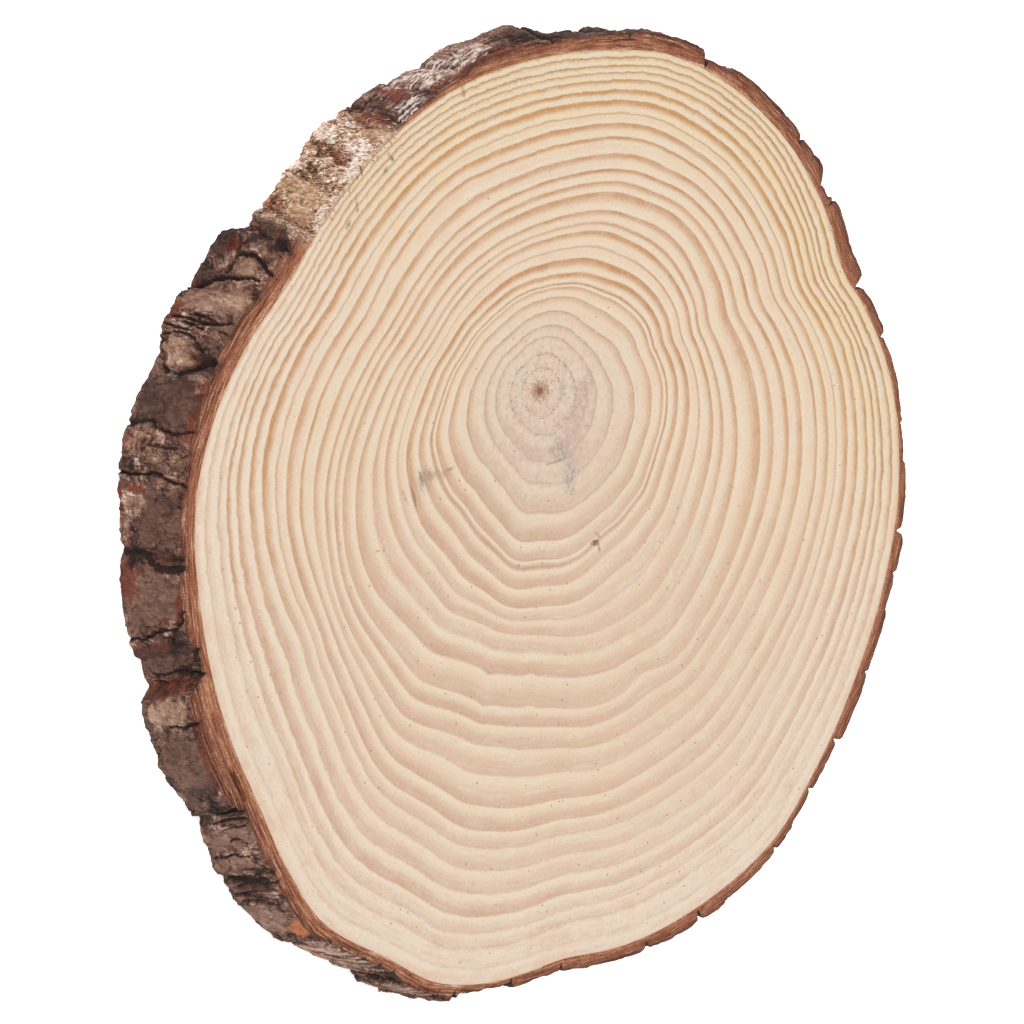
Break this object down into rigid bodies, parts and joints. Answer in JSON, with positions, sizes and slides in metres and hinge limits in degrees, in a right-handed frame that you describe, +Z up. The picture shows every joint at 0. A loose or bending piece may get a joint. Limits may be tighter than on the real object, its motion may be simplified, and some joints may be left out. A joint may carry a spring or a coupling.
{
  "type": "wood slice",
  "caption": "Round slice sawn straight across a pine trunk, with rough bark round its rim and growth rings on both flat sawn faces.",
  "frame": {"origin": "middle of the lower sawn face, which the slice rests on", "axes": "+Z up along the trunk, out of the upper sawn face; X and Y lie in the sawn faces"},
  "size_m": [0.3023, 0.2987, 0.027],
  "materials": {
    "wood": "sawn",
    "bark": "rough"
  },
  "bodies": {
    "root": {"wood_slice": "wood"}
  },
  "joints": []
}
